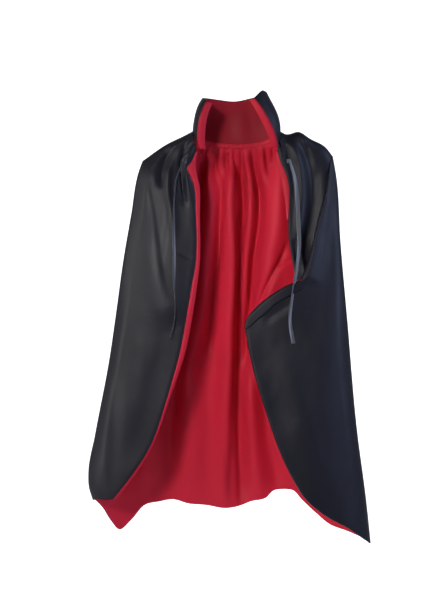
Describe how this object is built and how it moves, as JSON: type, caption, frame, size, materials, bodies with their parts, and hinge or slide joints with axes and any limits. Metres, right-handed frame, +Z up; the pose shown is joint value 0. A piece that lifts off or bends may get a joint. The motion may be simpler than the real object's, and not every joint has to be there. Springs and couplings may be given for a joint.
{
  "type": "stand-collar cape",
  "caption": "Full-length lined satin cape with a stiffened stand-up collar, gathered neck, swinging front edges and ribbon ties.",
  "frame": {"origin": "middle of the neck opening, level with the back of the neck seam, where a hanger or a wearer's neck carries the cape", "axes": "+Z up out of the collar, -Y out of the front opening, +X to the right as seen from the front"},
  "size_m": [0.614, 0.1813, 0.9862],
  "materials": {
    "black_satin": "satin",
    "red_satin": "satin",
    "ribbon": "glossy satin ribbon",
    "interfacing": "matt"
  },
  "bodies": {
    "root": {"back_shell": "black_satin", "back_lining": "red_satin", "left_shoulder_shell": "black_satin", "left_shoulder_lining": "red_satin", "right_shoulder_shell": "black_satin", "right_shoulder_lining": "red_satin", "left_side_shell": "black_satin", "left_side_lining": "red_satin", "right_side_shell": "black_satin", "right_side_lining": "red_satin", "collar_shell": "black_satin", "collar_interfacing": "interfacing", "collar_lining": "red_satin", "neck_binding": "red_satin"},
    "left_front": {"left_front_shell": "black_satin", "left_front_lining": "red_satin", "left_front_facing": "red_satin", "left_tie_tack": "ribbon"},
    "right_front": {"right_front_shell": "black_satin", "right_front_lining": "red_satin", "right_front_facing": "black_satin", "right_tie_tack": "ribbon"},
    "left_ribbon": {"left_tie": "ribbon"},
    "right_ribbon": {"right_tie": "ribbon"}
  },
  "joints": [
    {"name": "left_front_swing", "type": "hinge", "parent": "root", "child": "left_front", "pos_m": [-0.14, -0.03195, -0.03207], "axis": [-0.1809, -0.0566, -0.9819], "range_deg": [0, 75]},
    {"name": "right_front_swing", "type": "hinge", "parent": "root", "child": "right_front", "pos_m": [0.14, -0.03195, -0.03207], "axis": [-0.1302, 0.0571, 0.9898], "range_deg": [0, 75]},
    {"name": "left_tie_lift", "type": "hinge", "parent": "left_front", "child": "left_ribbon", "pos_m": [-0.114, -0.0402, -0.03963], "axis": [-1, 0, 0], "range_deg": [0, 100]},
    {"name": "right_tie_lift", "type": "hinge", "parent": "right_front", "child": "right_ribbon", "pos_m": [0.112, -0.0402, -0.03963], "axis": [-1, 0, 0], "range_deg": [0, 100]}
  ]
}
